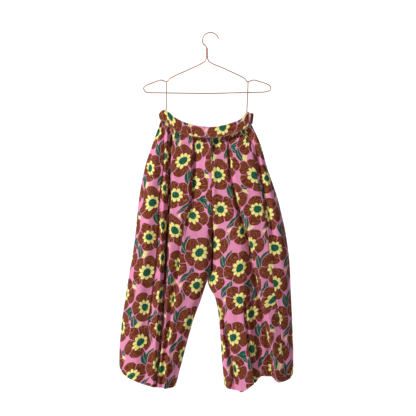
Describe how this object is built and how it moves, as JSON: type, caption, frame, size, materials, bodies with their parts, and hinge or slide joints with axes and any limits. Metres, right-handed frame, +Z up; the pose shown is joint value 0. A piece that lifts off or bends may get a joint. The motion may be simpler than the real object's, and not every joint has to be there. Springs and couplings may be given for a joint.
{
  "type": "palazzo pants on a wire hanger",
  "caption": "Wide-legged cotton trousers with a gathered waist and slanted side pockets, hanging by thin tape loops from a bent copper-coloured wire hanger",
  "frame": {"origin": "inside the apex of the hanger's hook, where it rests on a rail", "axes": "+Z up, the front of the garment faces -Y, +X to the right of a viewer in front of it"},
  "size_m": [0.5759, 0.1257, 1.1844],
  "materials": {
    "cloth": "matt printed cotton",
    "tape": "soft woven tape",
    "wire": "satin copper coat"
  },
  "bodies": {
    "root": {"right_leg_front": "cloth", "right_leg_back": "cloth", "left_leg_front": "cloth", "left_leg_back": "cloth", "waistband_front": "cloth", "waistband_back": "cloth", "hanging_loop_left": "tape", "hanging_loop_right": "tape", "hanger_wire": "wire"}
  },
  "joints": []
}
